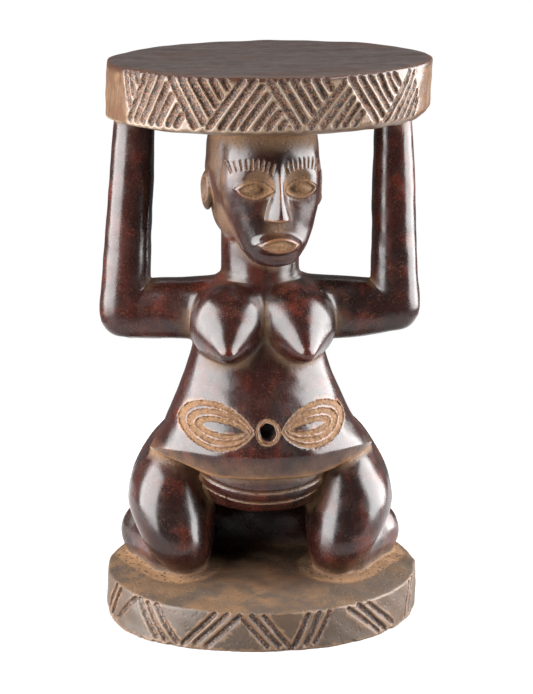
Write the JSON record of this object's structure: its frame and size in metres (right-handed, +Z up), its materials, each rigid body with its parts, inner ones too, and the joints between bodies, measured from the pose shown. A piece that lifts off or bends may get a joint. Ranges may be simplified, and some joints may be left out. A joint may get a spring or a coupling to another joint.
{
  "type": "carved wooden caryatid stool",
  "caption": "Round wooden stool whose seat is held up by the head and raised arms of a kneeling carved figure on a round base.",
  "frame": {"origin": "centre of the underside of the base", "axes": "+Z up through the figure, -Y the way the figure looks, +X to the viewer's right"},
  "size_m": [0.2482, 0.24, 0.4221],
  "materials": {
    "carved_wood": "dark red-brown hardwood, hand-polished on the figure, with pale ochre dust in the carving and grey-brown dry wood on the seat top and base"
  },
  "bodies": {
    "root": {"carved_stool": "carved_wood"}
  },
  "joints": []
}
